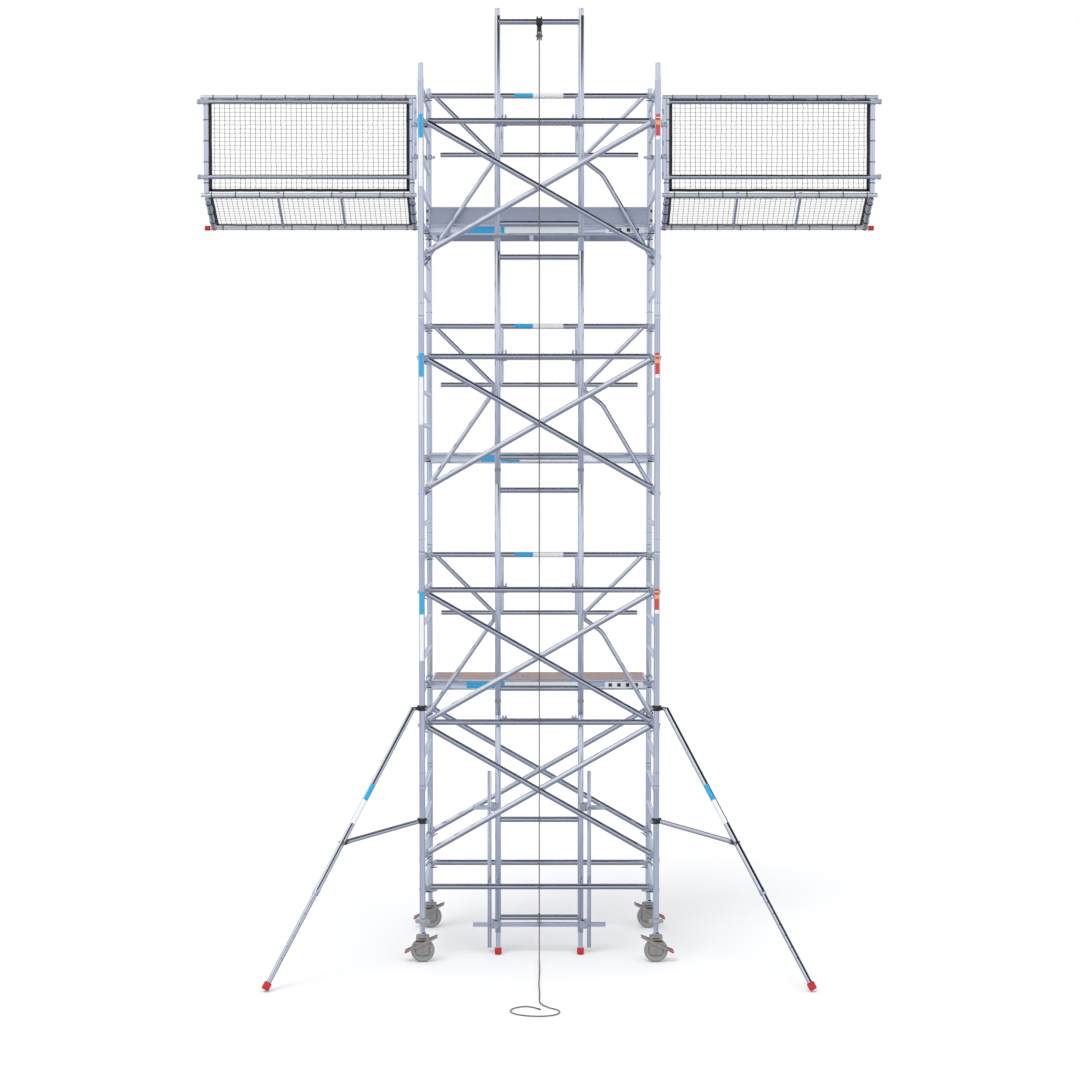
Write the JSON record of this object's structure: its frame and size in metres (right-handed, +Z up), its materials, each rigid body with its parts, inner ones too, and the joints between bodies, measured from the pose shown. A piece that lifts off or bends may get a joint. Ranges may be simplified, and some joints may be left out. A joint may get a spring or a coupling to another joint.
{
  "type": "mobile tower scaffold",
  "caption": "Mobile aluminium tower scaffold with ladder frames, crossed braces, hatch platforms, stabilisers, a rope hoist ladder and folding net guards.",
  "frame": {"origin": "middle of the footprint (net guards and stabilisers included, rope left out), on the floor", "axes": "+Z up; the hoist ladder side faces -Y; +X to the right seen from that side"},
  "size_m": [6.05, 3.489, 7.9901],
  "materials": {
    "aluminium": "drawn tube, satin with bright streaks",
    "dark_metal": "black coating, satin",
    "caster_metal": "zinc grey, satin",
    "wheel": "grey tyre, matt",
    "red_rubber": "red rubber, satin",
    "deck": "phenolic plywood, fine grain",
    "rope": "laid rope, matt",
    "net": "knotted cord, matt",
    "webbing": "woven black webbing",
    "sticker_blue": "printed film, gloss",
    "sticker_white": "printed film, gloss",
    "sticker_red": "printed film, gloss",
    "sticker_orange": "printed film, gloss"
  },
  "bodies": {
    "tower": {"left_base_frame": "aluminium", "left_frame_1": "aluminium", "left_frame_2": "aluminium", "left_frame_3": "aluminium", "right_base_frame": "aluminium", "right_frame_1": "aluminium", "right_frame_2": "aluminium", "right_frame_3": "aluminium", "front_sill_brace": "aluminium", "rear_sill_brace": "aluminium", "rear_cross_braces": "aluminium", "front_brace_set_1": "aluminium", "front_brace_set_2": "aluminium", "front_brace_set_3": "aluminium", "front_brace_set_4": "aluminium", "platform_1": "deck", "guard_rail_frame_1": "aluminium", "platform_2": "deck", "guard_rail_frame_2": "aluminium", "platform_3": "deck", "guard_rail_frame_3": "aluminium", "toe_board": "aluminium", "hoist_ladder_lower": "aluminium", "hoist_ladder_upper": "aluminium", "pulley_bracket": "dark_metal", "rope_hauling_part": "rope", "rope_load_run": "rope", "left_guard_frame": "aluminium", "left_upper_net": "net", "right_guard_frame": "aluminium", "right_upper_net": "net"},
    "near_left_leg": {"near_left_leg": "aluminium"},
    "near_left_fork": {"near_left_fork": "caster_metal"},
    "near_left_wheel": {"near_left_wheel": "wheel"},
    "near_left_brake": {"near_left_brake": "caster_metal"},
    "near_right_leg": {"near_right_leg": "aluminium"},
    "near_right_fork": {"near_right_fork": "caster_metal"},
    "near_right_wheel": {"near_right_wheel": "wheel"},
    "near_right_brake": {"near_right_brake": "caster_metal"},
    "far_left_leg": {"far_left_leg": "aluminium"},
    "far_left_fork": {"far_left_fork": "caster_metal"},
    "far_left_wheel": {"far_left_wheel": "wheel"},
    "far_left_brake": {"far_left_brake": "caster_metal"},
    "far_right_leg": {"far_right_leg": "aluminium"},
    "far_right_fork": {"far_right_fork": "caster_metal"},
    "far_right_wheel": {"far_right_wheel": "wheel"},
    "far_right_brake": {"far_right_brake": "caster_metal"},
    "hatch_1": {"hatch_1": "deck"},
    "hatch_2": {"hatch_2": "deck"},
    "hatch_3": {"hatch_3": "deck"},
    "hoist_carriage": {"hoist_carriage": "aluminium"},
    "pulley_sheave": {"pulley_sheave": "dark_metal"},
    "left_stabiliser": {"left_stabiliser": "aluminium"},
    "left_stabiliser_foot": {"left_stabiliser_foot": "aluminium"},
    "left_flap": {"left_flap_frame": "aluminium", "left_flap_net": "net"},
    "right_stabiliser": {"right_stabiliser": "aluminium"},
    "right_stabiliser_foot": {"right_stabiliser_foot": "aluminium"},
    "right_flap": {"right_flap_frame": "aluminium", "right_flap_net": "net"}
  },
  "joints": [
    {"name": "near_left_leg_slide", "type": "slide", "parent": "tower", "child": "near_left_leg", "axis": [0, 0, -1], "range_m": [0, 0.25]},
    {"name": "near_left_swivel", "type": "hinge", "parent": "near_left_leg", "child": "near_left_fork", "pos_m": [-0.98, -0.35, 0.2], "axis": [0, 0, 1], "continuous": true},
    {"name": "near_left_roll", "type": "hinge", "parent": "near_left_fork", "child": "near_left_wheel", "pos_m": [-0.98, -0.35, 0.1], "axis": [0, 1, 0], "continuous": true},
    {"name": "near_left_brake_tip", "type": "hinge", "parent": "near_left_fork", "child": "near_left_brake", "pos_m": [-0.98, -0.35, 0.152], "axis": [0, -1, 0], "range_deg": [0, 10]},
    {"name": "near_right_leg_slide", "type": "slide", "parent": "tower", "child": "near_right_leg", "axis": [0, 0, -1], "range_m": [0, 0.25]},
    {"name": "near_right_swivel", "type": "hinge", "parent": "near_right_leg", "child": "near_right_fork", "pos_m": [0.98, -0.35, 0.2], "axis": [0, 0, 1], "continuous": true},
    {"name": "near_right_roll", "type": "hinge", "parent": "near_right_fork", "child": "near_right_wheel", "pos_m": [0.98, -0.35, 0.1], "axis": [0, 1, 0], "continuous": true},
    {"name": "near_right_brake_tip", "type": "hinge", "parent": "near_right_fork", "child": "near_right_brake", "pos_m": [0.98, -0.35, 0.152], "axis": [0, 1, 0], "range_deg": [0, 10]},
    {"name": "far_left_leg_slide", "type": "slide", "parent": "tower", "child": "far_left_leg", "axis": [0, 0, -1], "range_m": [0, 0.25]},
    {"name": "far_left_swivel", "type": "hinge", "parent": "far_left_leg", "child": "far_left_fork", "pos_m": [-0.98, 0.945, 0.2], "axis": [0, 0, 1], "continuous": true},
    {"name": "far_left_roll", "type": "hinge", "parent": "far_left_fork", "child": "far_left_wheel", "pos_m": [-0.98, 0.945, 0.1], "axis": [0, 1, 0], "continuous": true},
    {"name": "far_left_brake_tip", "type": "hinge", "parent": "far_left_fork", "child": "far_left_brake", "pos_m": [-0.98, 0.945, 0.152], "axis": [0, -1, 0], "range_deg": [0, 10]},
    {"name": "far_right_leg_slide", "type": "slide", "parent": "tower", "child": "far_right_leg", "axis": [0, 0, -1], "range_m": [0, 0.25]},
    {"name": "far_right_swivel", "type": "hinge", "parent": "far_right_leg", "child": "far_right_fork", "pos_m": [0.98, 0.945, 0.2], "axis": [0, 0, 1], "continuous": true},
    {"name": "far_right_roll", "type": "hinge", "parent": "far_right_fork", "child": "far_right_wheel", "pos_m": [0.98, 0.945, 0.1], "axis": [0, 1, 0], "continuous": true},
    {"name": "far_right_brake_tip", "type": "hinge", "parent": "far_right_fork", "child": "far_right_brake", "pos_m": [0.98, 0.945, 0.152], "axis": [0, 1, 0], "range_deg": [0, 10]},
    {"name": "hatch_1_hinge", "type": "hinge", "parent": "tower", "child": "hatch_1", "pos_m": [-0.742, 0.6, 2.311], "axis": [0, -1, 0], "range_deg": [0, 95]},
    {"name": "hatch_2_hinge", "type": "hinge", "parent": "tower", "child": "hatch_2", "pos_m": [-0.742, 0.6, 4.271], "axis": [0, -1, 0], "range_deg": [0, 95]},
    {"name": "hatch_3_hinge", "type": "hinge", "parent": "tower", "child": "hatch_3", "pos_m": [-0.742, 0.6, 6.231], "axis": [0, -1, 0], "range_deg": [0, 95]},
    {"name": "carriage_lift", "type": "slide", "parent": "tower", "child": "hoist_carriage", "axis": [0, 0, 1], "range_m": [0, 5.9], "deforming": ["rope_load_run"]},
    {"name": "sheave_spin", "type": "hinge", "parent": "tower", "child": "pulley_sheave", "pos_m": [0, -0.08, 7.762], "axis": [1, 0, 0], "continuous": true},
    {"name": "left_stabiliser_swing", "type": "hinge", "parent": "tower", "child": "left_stabiliser", "pos_m": [-0.98, -0.35, 1.2], "axis": [0, 0, 1], "range_deg": [-35, 40]},
    {"name": "left_stabiliser_telescope", "type": "slide", "parent": "left_stabiliser", "child": "left_stabiliser_foot", "axis": [-0.4361, -0.3634, -0.8233], "range_m": [-0.5, 0.25]},
    {"name": "left_flap_hinge", "type": "hinge", "parent": "tower", "child": "left_flap", "pos_m": [-2.04, 0.945, 6.555], "axis": [1, 0, 0], "range_deg": [0, 60]},
    {"name": "right_stabiliser_swing", "type": "hinge", "parent": "tower", "child": "right_stabiliser", "pos_m": [0.98, -0.35, 1.2], "axis": [0, 0, -1], "range_deg": [-35, 40]},
    {"name": "right_stabiliser_telescope", "type": "slide", "parent": "right_stabiliser", "child": "right_stabiliser_foot", "axis": [0.4361, -0.3634, -0.8233], "range_m": [-0.5, 0.25]},
    {"name": "right_flap_hinge", "type": "hinge", "parent": "tower", "child": "right_flap", "pos_m": [2.04, 0.945, 6.555], "axis": [1, 0, 0], "range_deg": [0, 60]}
  ],
  "couplings": [
    {"joint": "sheave_spin", "follows": "carriage_lift", "rad_per_m": 37.037}
  ]
}
